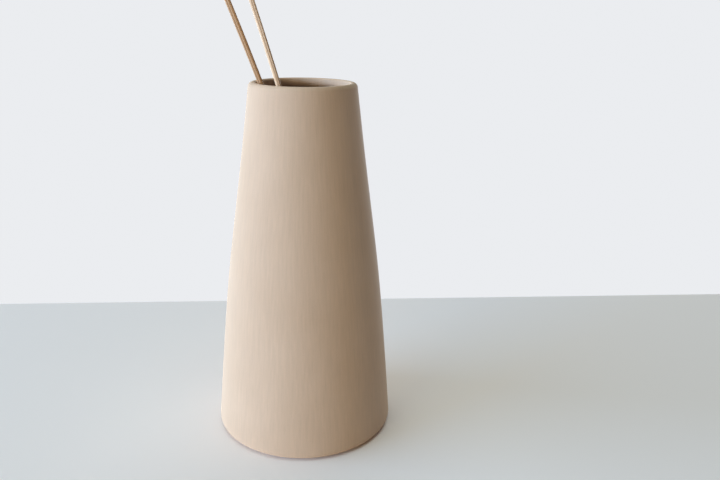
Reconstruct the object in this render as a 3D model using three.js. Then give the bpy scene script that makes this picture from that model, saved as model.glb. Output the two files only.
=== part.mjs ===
// Tapered ceramic vase with two dried stems leaning in it.
// Millimetres, +Z up. The origin is the centre of the vase's flat base, on the surface it stands on.
// The front is towards -Y, and both stems lean towards -X.
import * as THREE from 'three';

// Vase: driving dimensions
const HEIGHT = 250;
const BASE_RADIUS = 64.4; // outside, where the wall would meet the table without its rounded edge
const MOUTH_RADIUS = 36.2; // outside, where the wall would meet the top without its rounded lip
const WALL = 5;
const FLOOR = 8;

// The outside wall is one cubic curve. It leaves the foot and reaches the mouth at these tapers,
// in millimetres of radius lost per millimetre of height, and each end holds its taper over its reach.
const FOOT_TAPER = 0.079;
const FOOT_REACH = 0.6 * HEIGHT;
const MOUTH_TAPER = 0.1175;
const MOUTH_REACH = 0.455 * HEIGHT;

// Roundings
const BASE_EDGE = 5.4;
const LIP_OUTSIDE = 3;
const LIP_INSIDE = 1.2; // leaves a narrow flat crest between the two roundings
const FLOOR_CORNER = 9;

// Stems
const GAP = 0.3; // clearance between pieces that touch on the real object
const STEM_LENGTH = 400;
const STEM_BOW = 7; // how far a stem's middle stands off the straight line from its foot to its tip

// Facets
const AROUND_VASE = 72;
const WALL_STEPS = 16;
const ARC_STEPS = 5;
const AROUND_STEM = 10;
const STEM_STEPS = 30;

const COLOURS = {
  ceramic: { color: 0xd2bea8, roughness: 0.85, metalness: 0 },
  goldenStraw: { color: 0xa9875c, roughness: 0.75, metalness: 0 },
  paleStraw: { color: 0xc9ae86, roughness: 0.75, metalness: 0 },
};

const outsideWall = new THREE.CubicBezierCurve(
  new THREE.Vector2(BASE_RADIUS, 0),
  new THREE.Vector2(BASE_RADIUS - FOOT_TAPER * FOOT_REACH, FOOT_REACH),
  new THREE.Vector2(MOUTH_RADIUS + MOUTH_TAPER * MOUTH_REACH, HEIGHT - MOUTH_REACH),
  new THREE.Vector2(MOUTH_RADIUS, HEIGHT),
);

// The outside radius at a height, found by halving the span of the curve that holds it.
function outsideRadius(height) {
  let low = 0;
  let high = 1;
  for (let pass = 0; pass < 40; pass += 1) {
    const middle = (low + high) / 2;
    if (outsideWall.getPoint(middle).y < height) low = middle;
    else high = middle;
  }
  return outsideWall.getPoint(low).x;
}

// Points of the wall from one height to another, inset from the outside by a thickness.
function wallPoints(fromHeight, toHeight, inset) {
  return Array.from({ length: WALL_STEPS + 1 }, (_, step) => {
    const height = THREE.MathUtils.lerp(fromHeight, toHeight, step / WALL_STEPS);
    return new THREE.Vector2(outsideRadius(height) - inset, height);
  });
}

// Points of a quarter turn, without its first point, which ends the stretch before it.
function quarterTurn(centreRadius, centreHeight, size, fromDegrees, toDegrees) {
  return Array.from({ length: ARC_STEPS }, (_, step) => {
    const turn = THREE.MathUtils.degToRad(
      THREE.MathUtils.lerp(fromDegrees, toDegrees, (step + 1) / ARC_STEPS),
    );
    return new THREE.Vector2(centreRadius + size * Math.cos(turn), centreHeight + size * Math.sin(turn));
  });
}

// The vase's half section, from the middle of the base, up the outside, over the lip and down to the floor.
function vaseOutline() {
  const baseEdgeRadius = outsideRadius(BASE_EDGE) - BASE_EDGE;
  const outside = wallPoints(BASE_EDGE, HEIGHT - LIP_OUTSIDE, 0);
  const crestRadius = outsideRadius(HEIGHT - LIP_OUTSIDE) - LIP_OUTSIDE;
  const innerCrestRadius = outsideRadius(HEIGHT - LIP_INSIDE) - WALL + LIP_INSIDE;
  const inside = wallPoints(HEIGHT - LIP_INSIDE, FLOOR + FLOOR_CORNER, WALL);
  const cornerRadius = inside.at(-1).x - FLOOR_CORNER;
  return [
    new THREE.Vector2(0, 0),
    new THREE.Vector2(baseEdgeRadius, 0),
    ...quarterTurn(baseEdgeRadius, BASE_EDGE, BASE_EDGE, -90, 0).slice(0, -1),
    ...outside,
    ...quarterTurn(crestRadius, HEIGHT - LIP_OUTSIDE, LIP_OUTSIDE, 0, 90),
    new THREE.Vector2(innerCrestRadius, HEIGHT),
    ...quarterTurn(innerCrestRadius, HEIGHT - LIP_INSIDE, LIP_INSIDE, 90, 180).slice(0, -1),
    ...inside,
    ...quarterTurn(cornerRadius, FLOOR + FLOOR_CORNER, FLOOR_CORNER, 0, -90),
    new THREE.Vector2(0, FLOOR),
  ];
}

function makeVase() {
  const geometry = new THREE.LatheGeometry(vaseOutline(), AROUND_VASE);
  geometry.rotateX(Math.PI / 2); // the lathe turns about Y
  return geometry;
}

// A stem is a round rod on a gentle arc that bends over towards its tip. It bows away from the part of
// the lip that it leans on, and the lowest edge of its cut foot stands on the vase's floor.
function makeStem({ foot, leanX, leanY, diameter }) {
  const start = new THREE.Vector3(foot.x, foot.y, FLOOR);
  const rise = Math.sqrt(STEM_LENGTH ** 2 - leanX ** 2 - leanY ** 2);
  const end = new THREE.Vector3(leanX, leanY, rise).add(start);
  const along = end.clone().sub(start).normalize();
  const across = new THREE.Vector3(1, 0, 0).addScaledVector(along, -along.x).normalize();
  const control = start.clone().lerp(end, 0.5).addScaledVector(across, 2 * STEM_BOW);
  const section = new THREE.Shape().absarc(0, 0, diameter / 2, 0, 2 * Math.PI, false);
  const geometry = new THREE.ExtrudeGeometry(section, {
    steps: STEM_STEPS,
    curveSegments: AROUND_STEM,
    extrudePath: new THREE.QuadraticBezierCurve3(start, control, end),
  });
  geometry.computeBoundingBox();
  geometry.translate(0, 0, FLOOR + GAP - geometry.boundingBox.min.z);
  return geometry;
}

const leftStem = { foot: new THREE.Vector2(48.8, 0), leanX: -130, leanY: -17.4, diameter: 3.45 };
const rightStem = { foot: new THREE.Vector2(44, -20), leanX: -105.6, leanY: -8.7, diameter: 3.1 };

function addPiece(assembly, name, geometry, colour) {
  const piece = new THREE.Mesh(geometry, new THREE.MeshStandardMaterial(colour));
  piece.name = name;
  assembly.add(piece);
}

const vaseWithStems = new THREE.Group();
addPiece(vaseWithStems, 'vase_body', makeVase(), COLOURS.ceramic);
addPiece(vaseWithStems, 'left_stem', makeStem(leftStem), COLOURS.goldenStraw);
addPiece(vaseWithStems, 'right_stem', makeStem(rightStem), COLOURS.paleStraw);

export default vaseWithStems;
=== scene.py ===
"""The looks of a tapered ceramic vase with two dried stems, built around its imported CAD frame.

Metres, +Z up. The origin is the centre of the vase's base. The front is towards -Y, and the stems lean
towards -X.
"""

import math

import bpy
from mathutils import Matrix, Vector, noise


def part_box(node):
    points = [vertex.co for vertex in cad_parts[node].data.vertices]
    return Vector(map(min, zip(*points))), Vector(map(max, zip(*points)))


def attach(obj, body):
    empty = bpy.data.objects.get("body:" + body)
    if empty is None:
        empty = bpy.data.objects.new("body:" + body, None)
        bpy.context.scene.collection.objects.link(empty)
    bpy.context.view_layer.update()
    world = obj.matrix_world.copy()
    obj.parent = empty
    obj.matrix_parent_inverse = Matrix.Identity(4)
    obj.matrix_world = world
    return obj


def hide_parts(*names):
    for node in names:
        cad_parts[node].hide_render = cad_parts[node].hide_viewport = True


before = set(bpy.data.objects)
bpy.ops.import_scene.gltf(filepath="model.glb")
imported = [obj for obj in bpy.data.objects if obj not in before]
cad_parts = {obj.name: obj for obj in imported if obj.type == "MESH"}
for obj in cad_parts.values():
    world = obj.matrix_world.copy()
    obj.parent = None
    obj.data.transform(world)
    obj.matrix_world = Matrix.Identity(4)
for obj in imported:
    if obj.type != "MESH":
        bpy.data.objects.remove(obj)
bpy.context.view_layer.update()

MM = 0.001

# Vase, with the CAD model's dimensions
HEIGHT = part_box("vase_body")[1].z
BASE_RADIUS = 64.4 * MM
MOUTH_RADIUS = 36.2 * MM
WALL = 5 * MM
FLOOR = 8 * MM
FOOT_TAPER = 0.079
FOOT_REACH = 0.6 * HEIGHT
MOUTH_TAPER = 0.1175
MOUTH_REACH = 0.455 * HEIGHT
BASE_EDGE = 5.4 * MM
LIP_OUTSIDE = 3 * MM
LIP_INSIDE = 1.2 * MM
FLOOR_CORNER = 9 * MM

# The clay's surface
SWELL = 0.07 * MM  # how far the wall wanders from a perfect round
SWELLS_AROUND = 1.6  # how quickly it wanders round the vase
SWELLS_UP = 22  # and up it, for each metre
SWELL_START = 10 * MM  # the height by which the wall wanders fully, so that the foot stays flat
RECESS_RADIUS = 48 * MM  # the middle of the underside, which stands clear of the table
RECESS_DEPTH = 0.8 * MM
RECESS_EDGE = 4 * MM
INSIDE_SHADE_TOP = 3 * MM  # below the rim, where painted shade starts to darken the inside
INSIDE_SHADE_FADE = 9 * MM

# The vase's mesh
AROUND_VASE = 360
OUTSIDE_ROWS = 112
INSIDE_ROWS = 70
MIDDLE = 2 * MM  # the radius of the innermost ring of the underside and of the floor

# Stems, with the CAD model's lines. They start a little thicker than the CAD rods, and the flats, ribs and
# grooves cut into that.
STEM_LENGTH = 400 * MM
STEM_BOW = 7 * MM
AROUND_STEM = 60
STEM_STEPS = 300
FRONT = 1.5 * math.pi  # turns round a stem start at its right, so this one faces the front
STEMS = {
    "left_stem": {
        "foot": Vector((48.8, 0, 8)) * MM,
        "lean": Vector((-130, -17.4, 0)) * MM,
        "diameter": 3.5 * MM,
        "grooves": ((FRONT - 0.5, 0.15 * MM), (FRONT + 2.3, 0.12 * MM)),  # turn and depth
        "joint_at": 0.27,  # share of the stem's length
    },
    "right_stem": {
        "foot": Vector((44, -20, 8)) * MM,
        "lean": Vector((-105.6, -8.7, 0)) * MM,
        "diameter": 3.3 * MM,
        "grooves": ((FRONT - 0.1, 0.16 * MM), (FRONT + 1.1, 0.12 * MM), (FRONT + 3.1, 0.12 * MM)),
        "joint_at": 0.33,
    },
}
FLATS = 3
FLAT_TURN = FRONT - 0.27  # the middle of the flat that faces the front
FLAT_DEPTH = 0.13 * MM
RIBS = 17
RIB_DEPTH = 0.018 * MM
RIB_PATCHES = 14  # along the stem, between stronger and fainter ribs
RIB_BENDS = 6  # along the stem
GROOVE_WIDTH = 0.28  # radians
GROOVE_WANDER = 0.25  # radians that a groove strays from its line
GROOVE_BENDS = 7  # along the stem
JOINT_SWELL = 0.22 * MM  # the ring where a leaf once grew
JOINT_LENGTH = 0.004  # shares of the stem's length
RIND_INSET = 0.0003  # share of the stem's length over which a cut end's edge is eased
CUT_FACE = (  # a cut end, from its middle out: share of the radius, depth, and share of pith
    (0.10, 2.6 * MM, 1.0),
    (0.24, 2.4 * MM, 1.0),
    (0.30, 0.30 * MM, 1.0),
    (0.55, 0.22 * MM, 1.0),
    (0.76, 0.12 * MM, 1.0),
    (0.82, 0.00 * MM, 0.3),
    (0.95, 0.00 * MM, 0.0),
)

# Camera
CAMERA_PLACE = Vector((0, -479.1, 294.8)) * MM
CAMERA_PITCH = math.radians(17.935)  # below the horizon
CAMERA_YAW = math.radians(4.765)  # to the right of +Y
CAMERA_ROLL = math.radians(1.064)
CAMERA_LENS = 35.175  # in millimetres
CAMERA_SENSOR = 36

# Light: a long low window at the left, warmer at its front end, a soft light above, and a pale card behind
SOFT_BOXES = (  # name, azimuth, half width, lowest and highest elevation, distance, and radiance
    ("window", 78, 24, 5, 9, 4, (47, 68, 100)),
    ("window_front_end", 42, 12, 5, 9, 4, (32, 29, 21.5)),
    ("top_light", 0, 22, 68, 112, 3, (1.95, 2.4, 2.4)),
    ("rear_card", 187, 37, -20, 12, 2, (5.2, 5.6, 6.1)),
)
DIM_SURROUNDINGS = (0.080, 0.045, 0.036, 1)
PALE_BACKGROUND = (0.83, 0.845, 0.87, 1)

# Table top
TABLE_SIDE = 2.2  # its reach to the left and to the right
TABLE_FRONT = -2.0
TABLE_BACK = 0.222  # a little behind the vase
TABLE_THICK = 0.03


# Camera, light and floor ------------------------------------------------------------------------------

def make_camera():
    forward = Vector((
        math.sin(CAMERA_YAW) * math.cos(CAMERA_PITCH),
        math.cos(CAMERA_YAW) * math.cos(CAMERA_PITCH),
        -math.sin(CAMERA_PITCH),
    ))
    level_right = forward.cross(Vector((0, 0, 1))).normalized()
    level_up = level_right.cross(forward)
    right = math.cos(CAMERA_ROLL) * level_right + math.sin(CAMERA_ROLL) * level_up
    up = math.cos(CAMERA_ROLL) * level_up - math.sin(CAMERA_ROLL) * level_right
    data = bpy.data.cameras.new("camera")
    data.lens = CAMERA_LENS
    data.sensor_width = CAMERA_SENSOR
    data.clip_start = 10 * MM
    data.clip_end = 50
    camera = bpy.data.objects.new("camera", data)
    facing = Matrix((right, up, -forward)).transposed().to_4x4()
    camera.matrix_world = Matrix.Translation(CAMERA_PLACE) @ facing
    bpy.context.scene.collection.objects.link(camera)
    bpy.context.scene.camera = camera


def add_soft_box(name, azimuth, half_width, low, high, distance, radiance):
    """A flat light that fills a patch of directions, as seen from the middle of the vase.

    The azimuth runs from the front round to the left, and low and high are elevations, all in degrees.
    """
    turn, rise = math.radians(azimuth), math.radians((low + high) / 2)
    towards = Vector((-math.sin(turn) * math.cos(rise), -math.cos(turn) * math.cos(rise), math.sin(rise)))
    data = bpy.data.lights.new(name, "AREA")
    data.shape = "RECTANGLE"
    data.size = 2 * distance * math.tan(math.radians(half_width))
    data.size_y = 2 * distance * math.tan(math.radians((high - low) / 2))
    data.energy = math.pi * data.size * data.size_y * max(radiance)
    data.color = [value / max(radiance) for value in radiance]
    light = bpy.data.objects.new(name, data)
    light.location = Vector((0, 0, HEIGHT / 2)) + towards * distance
    light.rotation_euler = towards.to_track_quat("Z", "Y").to_euler()
    light.visible_camera = False
    bpy.context.scene.collection.objects.link(light)


def make_world():
    """Pale behind everything the camera sees, and a dim warm light all round."""
    world = bpy.data.worlds.new("studio")
    bpy.context.scene.world = world
    world.use_nodes = True
    nodes = world.node_tree.nodes
    links = world.node_tree.links
    nodes.clear()
    as_light = nodes.new("ShaderNodeBackground")
    as_light.inputs["Color"].default_value = DIM_SURROUNDINGS
    as_seen = nodes.new("ShaderNodeBackground")
    as_seen.inputs["Color"].default_value = PALE_BACKGROUND
    path = nodes.new("ShaderNodeLightPath")
    choose = nodes.new("ShaderNodeMixShader")
    output = nodes.new("ShaderNodeOutputWorld")
    links.new(path.outputs["Is Camera Ray"], choose.inputs["Fac"])
    links.new(as_light.outputs["Background"], choose.inputs[1])
    links.new(as_seen.outputs["Background"], choose.inputs[2])
    links.new(choose.outputs["Shader"], output.inputs["Surface"])


def make_floor():
    """A pale, matte table top. It ends a little behind the object."""
    outline = (
        (-TABLE_SIDE, TABLE_FRONT),
        (TABLE_SIDE, TABLE_FRONT),
        (TABLE_SIDE, TABLE_BACK),
        (-TABLE_SIDE, TABLE_BACK),
    )
    corners = [(x, y, z) for z in (-TABLE_THICK, 0) for x, y in outline]
    sides = [(0, 1, 5, 4), (1, 2, 6, 5), (2, 3, 7, 6), (3, 0, 4, 7)]
    mesh = bpy.data.meshes.new("floor")
    mesh.from_pydata(corners, [], [(3, 2, 1, 0), (4, 5, 6, 7), *sides])
    floor = bpy.data.objects.new("floor", mesh)
    bpy.context.scene.collection.objects.link(floor)
    material = bpy.data.materials.new("floor_paint")
    material.use_nodes = True
    shader = material.node_tree.nodes["Principled BSDF"]
    shader.inputs["Base Color"].default_value = (0.935, 0.865, 0.81, 1)
    shader.inputs["Roughness"].default_value = 0.9
    shader.inputs["Specular IOR Level"].default_value = 0
    mesh.materials.append(material)


# Node helpers -----------------------------------------------------------------------------------------

class Nodes:
    """Adds nodes to one material, and links each to what it reads."""

    def __init__(self, name):
        self.material = bpy.data.materials.new(name)
        self.material.use_nodes = True
        self.tree = self.material.node_tree
        self.shader = self.tree.nodes["Principled BSDF"]

    def add(self, kind, settings=None, **inputs):
        node = self.tree.nodes.new("ShaderNode" + kind)
        for name, value in (settings or {}).items():
            setattr(node, name, value)
        for name, value in inputs.items():
            self.feed(node.inputs[name.replace("_", " ")], value)
        return node

    def feed(self, socket, value):
        if isinstance(value, bpy.types.NodeSocket):
            self.tree.links.new(value, socket)
        else:
            socket.default_value = value

    def shade(self, input_name, value):
        """Gives the shader a value that varies over the surface."""
        self.feed(self.shader.inputs[input_name], value)

    def attribute(self, name):
        return self.add("Attribute", {"attribute_name": name}).outputs["Vector"]

    def split(self, vector):
        """The X, Y and Z outputs of a vector."""
        return self.add("SeparateXYZ", Vector=vector).outputs

    def join(self, x, y, z):
        return self.add("CombineXYZ", X=x, Y=y, Z=z).outputs["Vector"]

    def math(self, operation, first, second):
        node = self.add("Math", {"operation": operation})
        self.feed(node.inputs[0], first)
        self.feed(node.inputs[1], second)
        return node.outputs["Value"]

    def vector(self, operation, first, second=(0, 0, 0)):
        node = self.add("VectorMath", {"operation": operation})
        self.feed(node.inputs[0], first)
        self.feed(node.inputs[1], second)
        return node.outputs["Vector"]

    def noise(self, place, scale, detail, roughness=0.5):
        """Noise between 0 and 1 at each place."""
        node = self.add("TexNoise", Vector=place, Scale=scale, Detail=detail, Roughness=roughness)
        return node.outputs["Fac"]

    def spread(self, value, low, high, start=0.3, end=0.7):
        """Maps the span of a noise to a span of another value."""
        node = self.add("MapRange", Value=value, From_Min=start, From_Max=end, To_Min=low, To_Max=high)
        return node.outputs["Result"]

    def mix(self, share, first, second, blend="MIX"):
        node = self.add("Mix", {"data_type": "RGBA", "blend_type": blend})
        self.feed(node.inputs["Factor"], share)
        self.feed(node.inputs["A"], first)
        self.feed(node.inputs["B"], second)
        return node.outputs["Result"]

    def bump(self, height, distance, below=None):
        """A relief as deep as distance, laid over another one if there is one below."""
        node = self.add("Bump", Height=height, Distance=distance, Strength=1.0)
        if below:
            self.feed(node.inputs["Normal"], below)
        return node.outputs["Normal"]


# Materials --------------------------------------------------------------------------------------------

def ceramic_material():
    """Matte beige clay, brushed up and down, with cloudy patches and a fine grain, and painted shade that
    darkens the inside below the rim.
    """
    n = Nodes("matte_ceramic")
    place = n.add("TexCoord").outputs["Object"]
    split = n.split(place)
    outward = n.split(n.vector("NORMALIZE", n.join(split["X"], split["Y"], 0)))
    rise = n.math("MULTIPLY", split["Z"], 1.2)  # changes far less than outward does, so streaks are long
    around = n.join(outward["X"], outward["Y"], rise)

    streaks = n.noise(around, scale=42, detail=4, roughness=0.65)
    clouds = n.noise(place, scale=26, detail=3)
    grain = n.noise(place, scale=1500, detail=2)

    beige = (0.645, 0.462, 0.312, 1)
    light_beige = (0.675, 0.490, 0.338, 1)
    # the colour of the painted shade deep inside the vase
    painted_inside_shade = (0.33, 0.20, 0.12, 1)
    clouded = n.mix(n.spread(clouds, 0, 1), beige, light_beige)
    brushed = n.spread(streaks, 0.955, 1.045)
    grained = n.spread(grain, 0.985, 1.015)
    shade = n.math("MULTIPLY", brushed, grained)
    outside = n.mix(1.0, clouded, n.join(shade, shade, shade), "MULTIPLY")
    # below the rim the inside turns to painted shade
    n.shade("Base Color", n.mix(n.split(n.attribute("painted_inside_shade"))["X"], outside, painted_inside_shade))

    n.shade("Roughness", n.math("ADD", n.spread(streaks, 0.72, 0.84), n.spread(grain, -0.03, 0.03)))
    n.shader.inputs["Diffuse Roughness"].default_value = 0.6
    n.shader.inputs["Specular IOR Level"].default_value = 0.35

    brush_relief = n.bump(streaks, 0.06 * MM)
    n.shade("Normal", n.bump(grain, 0.02 * MM, below=brush_relief))
    return n.material


def straw_material(name, dark, light, fleck_and_shade_colour, pith_colour, seed):
    """A dry plant stem: fibres along it, dust and painted shade in its grooves, and pale pith where it is
    cut.
    """
    n = Nodes(name)
    place = n.vector("ADD", n.attribute("fibre_place"), (0, 0, seed))
    marks = n.split(n.attribute("marks"))
    dust_and_groove_shade, pith = marks["X"], marks["Y"]
    fibres = n.noise(n.vector("MULTIPLY", place, (1, 1, 5)), scale=3.2, detail=4, roughness=0.6)
    flecks = n.noise(n.vector("MULTIPLY", place, (1, 1, 40)), scale=2.2, detail=3)

    tone = n.mix(n.spread(fibres, 0, 1), dark, light)
    flecked = n.mix(n.spread(flecks, 0, 0.45, start=0.56, end=0.72), tone, fleck_and_shade_colour)
    # dust and painted shade in the grooves, in the fleck colour
    dusty_and_shaded = n.mix(n.math("MULTIPLY", dust_and_groove_shade, 0.75), flecked, fleck_and_shade_colour)
    n.shade("Base Color", n.mix(pith, dusty_and_shaded, pith_colour))
    n.shade("Roughness", n.spread(fibres, 0.62, 0.46))
    n.shader.inputs["Specular IOR Level"].default_value = 0.25
    n.shade("Normal", n.bump(fibres, 0.015 * MM))
    return n.material


# Mesh helpers -----------------------------------------------------------------------------------------

def make_piece(name, rings, material, body, node):
    """A closed surface through rings of equal size, which shrink to a point at both ends."""
    size = len(rings[0])
    vertices = [point for ring in rings for point in ring]
    faces = []
    for row in range(len(rings) - 1):
        for column in range(size):
            beside = (column + 1) % size
            here, up = row * size, (row + 1) * size
            faces.append((here + column, here + beside, up + beside, up + column))
    first_tip = len(vertices)
    vertices.append(sum(rings[0], Vector()) / size)
    vertices.append(sum(rings[-1], Vector()) / size)
    last_row = (len(rings) - 1) * size
    for column in range(size):
        beside = (column + 1) % size
        faces.append((first_tip, beside, column))
        faces.append((first_tip + 1, last_row + column, last_row + beside))
    mesh = bpy.data.meshes.new(name)
    mesh.from_pydata(vertices, [], faces)
    mesh.shade_smooth()
    mesh.materials.append(material)
    piece = bpy.data.objects.new(name, mesh)
    bpy.context.scene.collection.objects.link(piece)
    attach(piece, body)
    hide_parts(node)
    return piece


def add_attribute(piece, name, vectors):
    """Gives each vertex of a piece a vector that its material reads."""
    attribute = piece.data.attributes.new(name, "FLOAT_VECTOR", "POINT")
    attribute.data.foreach_set("vector", [value for vector in vectors for value in vector])


def spaced(start, end, count):
    """Even steps from start to end, both included."""
    return [start + (end - start) * step / (count - 1) for step in range(count)]


def eased(share):
    """A smooth rise from 0 to 1."""
    return share * share * (3 - 2 * share)


def hump(distance, width):
    """A smooth hump: 1 in its middle, and next to nothing two widths away."""
    return math.exp(-((distance / width) ** 2))


# Vase -------------------------------------------------------------------------------------------------

def wall_point(share):
    """The outside wall's radius and height at a share of its curve, which is a cubic one."""
    rest = 1 - share
    weights = (rest ** 3, 3 * rest ** 2 * share, 3 * rest * share ** 2, share ** 3)
    foot_control = BASE_RADIUS - FOOT_TAPER * FOOT_REACH
    mouth_control = MOUTH_RADIUS + MOUTH_TAPER * MOUTH_REACH
    radii = (BASE_RADIUS, foot_control, mouth_control, MOUTH_RADIUS)
    heights = (0, FOOT_REACH, HEIGHT - MOUTH_REACH, HEIGHT)
    radius = sum(weight * value for weight, value in zip(weights, radii))
    height = sum(weight * value for weight, value in zip(weights, heights))
    return radius, height


def outside_radius(height):
    """The outside radius at a height, found by halving the span of the curve that holds it."""
    low, high = 0.0, 1.0
    for _ in range(40):
        middle = (low + high) / 2
        if wall_point(middle)[1] < height:
            low = middle
        else:
            high = middle
    return wall_point(low)[0]


def arc(radius, height, size, start, end, count):
    """Points of an arc about a centre, in degrees, without its first point."""
    turns = [math.radians(angle) for angle in spaced(start, end, count + 1)[1:]]
    return [(radius + size * math.cos(turn), height + size * math.sin(turn)) for turn in turns]


def underside_profile(foot_radius):
    """Radius and height over the recess in the middle and the flat ring that the vase stands on."""
    recess = [(radius, RECESS_DEPTH) for radius in spaced(MIDDLE, RECESS_RADIUS, 6)]
    edge = [
        (RECESS_RADIUS + RECESS_EDGE * share, RECESS_DEPTH * (1 - eased(share)))
        for share in spaced(0.1, 1, 10)
    ]
    flat = [(radius, 0) for radius in spaced(RECESS_RADIUS + RECESS_EDGE, foot_radius, 5)[1:]]
    return recess + edge + flat


def vase_profile():
    """Radius and height, from the middle of the base, up the outside, over the lip and down to the floor."""
    foot_radius = outside_radius(BASE_EDGE) - BASE_EDGE
    crest_radius = outside_radius(HEIGHT - LIP_OUTSIDE) - LIP_OUTSIDE
    inner_crest_radius = outside_radius(HEIGHT - LIP_INSIDE) - WALL + LIP_INSIDE
    corner_radius = outside_radius(FLOOR + FLOOR_CORNER) - WALL - FLOOR_CORNER
    outside_heights = spaced(BASE_EDGE, HEIGHT - LIP_OUTSIDE, OUTSIDE_ROWS)
    inside_heights = spaced(HEIGHT - LIP_INSIDE, FLOOR + FLOOR_CORNER, INSIDE_ROWS)
    return [
        *underside_profile(foot_radius),
        *arc(foot_radius, BASE_EDGE, BASE_EDGE, -90, 0, 10)[:-1],
        *((outside_radius(height), height) for height in outside_heights),
        *arc(crest_radius, HEIGHT - LIP_OUTSIDE, LIP_OUTSIDE, 0, 90, 12),
        *arc(inner_crest_radius, HEIGHT - LIP_INSIDE, LIP_INSIDE, 90, 180, 8)[:-1],
        *((outside_radius(height) - WALL, height) for height in inside_heights),
        *arc(corner_radius, FLOOR + FLOOR_CORNER, FLOOR_CORNER, 0, -90, 10),
        *((radius, FLOOR) for radius in spaced(corner_radius, MIDDLE, 10)[1:]),
    ]


def inside_shade_share(radius, height):
    """How much painted shade darkens the clay: 0 outside and at the rim, and 1 deeper inside."""
    inside = height > FLOOR / 2 and radius < outside_radius(height) - WALL + LIP_INSIDE / 2
    below_rim = (HEIGHT - INSIDE_SHADE_TOP - height) / INSIDE_SHADE_FADE
    return eased(min(1, max(0, below_rim))) if inside else 0


def vase_ring(radius, height):
    """A ring of the vase, which wanders a little from round, but not near the table or the middle."""
    share = min(1, radius / MOUTH_RADIUS) * min(1, height / SWELL_START)
    ring = []
    for step in range(AROUND_VASE):
        turn = 2 * math.pi * step / AROUND_VASE
        outward = Vector((math.cos(turn), math.sin(turn), 0))
        wander = noise.noise(outward * SWELLS_AROUND + Vector((0, 0, height * SWELLS_UP)))
        ring.append(outward * (radius + SWELL * wander * share) + Vector((0, 0, height)))
    return ring


def make_vase():
    profile = vase_profile()
    rings = [vase_ring(radius, height) for radius, height in profile]
    piece = make_piece("vase", rings, ceramic_material(), "vase", "vase_body")
    # painted shade inside the vase, from none at the rim to full deeper down
    row_shares = [(inside_shade_share(radius, height), 0, 0) for radius, height in profile]
    point_shares = [share for share in row_shares for _ in range(AROUND_VASE)]
    add_attribute(piece, "painted_inside_shade", point_shares + [(0, 0, 0), (1, 0, 0)])


# Stems ------------------------------------------------------------------------------------------------

def stem_rows():
    """Each ring of a stem, from its cut foot's middle to its cut tip's: place, radius share and pith."""
    foot = [(depth / STEM_LENGTH, share, pith) for share, depth, pith in CUT_FACE]
    rind = [(place, 1.0, 0.0) for place in spaced(RIND_INSET, 1 - RIND_INSET, STEM_STEPS)]
    tip = [(1 - place, share, pith) for place, share, pith in reversed(foot)]
    return foot + rind + tip


def groove_share(turn, place, middle):
    """How far into a groove a point of the rind is, from 0 outside it to 1 on its bed."""
    wander = GROOVE_WANDER * noise.noise(Vector((place * GROOVE_BENDS, middle, 0)))
    return hump(math.remainder(turn - middle - wander, 2 * math.pi), GROOVE_WIDTH)


def rind_height(turn, place, grooves, joint_at):
    """How far the rind stands off the round, with its soft flats, fine ribs, grooves and one joint's ring."""
    flats = FLAT_DEPTH * math.cos(FLATS * (turn - FLAT_TURN))
    patch = noise.noise(Vector((math.cos(turn) * 2, math.sin(turn) * 2, place * RIB_PATCHES)))
    drift = 2 * noise.noise(Vector((place * RIB_BENDS, RIBS, 0)))
    ribs = RIB_DEPTH * (1 + patch) * math.cos(RIBS * turn + drift)
    cut = sum(depth * groove_share(turn, place, middle) for middle, depth in grooves)
    joint = JOINT_SWELL * hump(place - joint_at, JOINT_LENGTH)
    return ribs - flats - cut + joint


def dust_and_shade_share(turn, place, grooves, joint_at):
    """How much dust and painted shade darken a point of the rind: both in its grooves, and dust alone in a
    line above the joint's ring.
    """
    # each groove holds dust and painted shade
    grooved = max(groove_share(turn, place, middle) for middle, _ in grooves)
    return max(grooved, hump(place - joint_at - JOINT_LENGTH, 0.5 * JOINT_LENGTH))


def stem_arc(foot, lean):
    """The arc's foot, control point and tip, and the direction square to the plane that it bends in."""
    rise = math.sqrt(STEM_LENGTH ** 2 - lean.length_squared)
    tip = foot + lean + Vector((0, 0, rise))
    along = (tip - foot).normalized()
    across = (Vector((1, 0, 0)) - along * along.x).normalized()
    control = (foot + tip) / 2 + across * 2 * STEM_BOW
    return foot, control, tip, along.cross(across)


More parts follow.
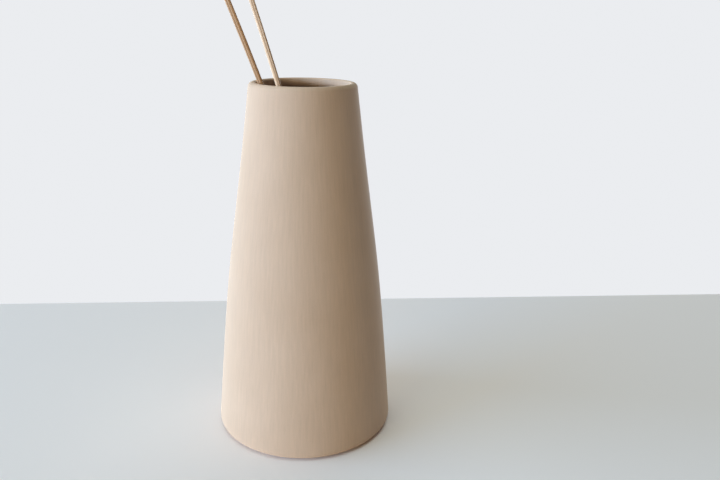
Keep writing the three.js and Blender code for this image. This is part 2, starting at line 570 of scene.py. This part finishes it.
def make_stem(name, foot, lean, diameter, grooves, joint_at, material, slot):
    """A dry rod on the CAD stem's arc, cut at both ends, with a rind round a pale pith and a hollow."""
    foot, control, tip, sideways = stem_arc(foot, lean)
    rings, fibre_places, marks = [], [], []
    for place, radius_share, pith in stem_rows():
        centre = foot * (1 - place) ** 2 + control * 2 * place * (1 - place) + tip * place ** 2
        tangent = ((control - foot) * (1 - place) + (tip - control) * place).normalized()
        outward = sideways.cross(tangent).normalized()
        ring = []
        for step in range(AROUND_STEM):
            turn = 2 * math.pi * step / AROUND_STEM
            out, side = math.cos(turn), math.sin(turn)
            radius = (diameter / 2 + rind_height(turn, place, grooves, joint_at)) * radius_share
            ring.append(centre + (outward * out + sideways * side) * radius)
            fibre_places.append((out * radius_share, side * radius_share, place * STEM_LENGTH))
            marks.append((dust_and_shade_share(turn, place, grooves, joint_at), pith, 0))
        rings.append(ring)
    lift = Vector((0, 0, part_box(name)[0].z - min(point.z for ring in rings for point in ring)))
    rings = [[point + lift for point in ring] for ring in rings]
    piece = make_piece(name + "_straw", rings, material, name + "_body", name)
    add_attribute(piece, "fibre_place", fibre_places + [(0, 0, 0), (0, 0, STEM_LENGTH)])
    add_attribute(piece, "marks", marks + [(0, 1, 0), (0, 1, 0)])


# The object -------------------------------------------------------------------------------------------

make_camera()
make_world()
for soft_box in SOFT_BOXES:
    add_soft_box(*soft_box)
make_floor()
make_vase()

golden_straw = straw_material(
    "golden_straw_fibres",
    dark=(0.44, 0.24, 0.11, 1),
    light=(0.61, 0.36, 0.185, 1),
    fleck_and_shade_colour=(0.22, 0.11, 0.05, 1),
    pith_colour=(0.66, 0.56, 0.42, 1),
    seed=0.0,
)
pale_straw = straw_material(
    "pale_straw_fibres",
    dark=(0.70, 0.455, 0.27, 1),
    light=(0.86, 0.62, 0.41, 1),
    fleck_and_shade_colour=(0.33, 0.185, 0.095, 1),
    pith_colour=(0.72, 0.64, 0.50, 1),
    seed=3.7,
)
make_stem("left_stem", **STEMS["left_stem"], material=golden_straw, slot="golden_straw")
make_stem("right_stem", **STEMS["right_stem"], material=pale_straw, slot="pale_straw")

bpy.context.scene.view_settings.view_transform = "Standard"
